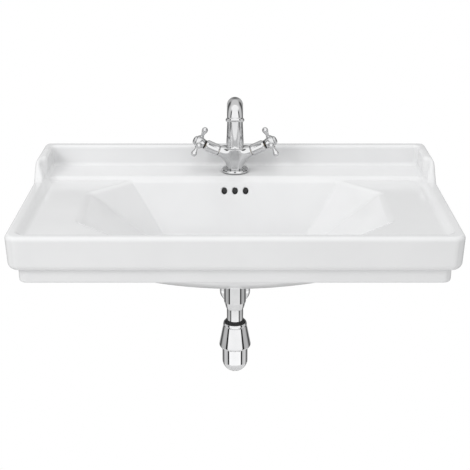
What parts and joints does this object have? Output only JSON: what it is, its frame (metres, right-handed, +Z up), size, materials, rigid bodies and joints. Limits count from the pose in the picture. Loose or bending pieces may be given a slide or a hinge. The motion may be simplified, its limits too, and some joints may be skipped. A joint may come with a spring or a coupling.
{
  "type": "wall-hung washbasin",
  "caption": "Wide wall-hung washbasin with raised back and scrolled side wings, cross-handle chrome tap, push-button waste and bottle trap.",
  "frame": {"origin": "midway between the two wall-bolt holes, on the wall plane", "axes": "+X to the user's right, +Y into the wall, +Z up"},
  "size_m": [0.8, 0.49, 0.5362],
  "materials": {
    "china": "gloss",
    "chrome": "polished",
    "rubber": "matte",
    "black_plastic": "satin",
    "brass": "satin",
    "steel": "satin",
    "ceramic_disc": "lapped",
    "white_plastic": "satin"
  },
  "bodies": {
    "fixed_parts": {"basin": "china", "tap_body": "chrome", "tap_base_ring": "chrome", "tap_base_gasket": "rubber", "tap_mounting_stud": "steel", "tap_horseshoe_gasket": "rubber", "tap_horseshoe_washer": "steel", "tap_mounting_nut": "brass", "spout_retaining_screw": "steel", "hot_bonnet": "chrome", "hot_cartridge": "brass", "hot_fixed_disc": "ceramic_disc", "cold_bonnet": "chrome", "cold_cartridge": "brass", "cold_fixed_disc": "ceramic_disc", "waste_body": "chrome", "waste_flange_gasket": "rubber", "waste_under_gasket": "rubber", "waste_backnut": "brass", "waste_plug_latch": "white_plastic", "tail_nut": "chrome", "tail_washer": "rubber", "trap_inlet_tube": "chrome", "trap_inlet_gland": "black_plastic", "trap_collar_nut": "chrome", "trap_body": "chrome", "trap_cup": "chrome", "trap_cup_seal": "rubber", "outlet_nut": "chrome", "outlet_seal": "rubber", "outlet_pipe": "chrome", "wall_rosette": "chrome"},
    "hot_valve": {"hot_handle": "chrome", "hot_handle_screw": "steel", "hot_index_cap": "chrome", "hot_spindle": "brass", "hot_spindle_ring": "black_plastic", "hot_turning_disc": "ceramic_disc"},
    "cold_valve": {"cold_handle": "chrome", "cold_handle_screw": "steel", "cold_index_cap": "chrome", "cold_spindle": "brass", "cold_spindle_ring": "black_plastic", "cold_turning_disc": "ceramic_disc"},
    "swivel_spout": {"spout": "chrome", "spout_stem": "brass", "spout_seal_rings": "rubber", "aerator_housing": "chrome", "aerator_insert": "white_plastic", "aerator_gasket": "rubber"},
    "plug": {"waste_plug": "chrome", "waste_plug_seal": "rubber"}
  },
  "joints": [
    {"name": "hot_handle_turn", "type": "hinge", "parent": "fixed_parts", "child": "hot_valve", "pos_m": [0, -0.06, 0.069], "axis": [-0.9063, 0, 0.4226], "range_deg": [0, 90]},
    {"name": "cold_handle_turn", "type": "hinge", "parent": "fixed_parts", "child": "cold_valve", "pos_m": [0, -0.06, 0.069], "axis": [0.9063, 0, 0.4226], "range_deg": [-90, 0]},
    {"name": "spout_swivel", "type": "hinge", "parent": "fixed_parts", "child": "swivel_spout", "pos_m": [0, -0.06, 0.041], "axis": [0, 0, 1], "range_deg": [-60, 60]},
    {"name": "plug_push", "type": "slide", "parent": "fixed_parts", "child": "plug", "axis": [0, 0, 1], "range_m": [0, 0.008]}
  ]
}
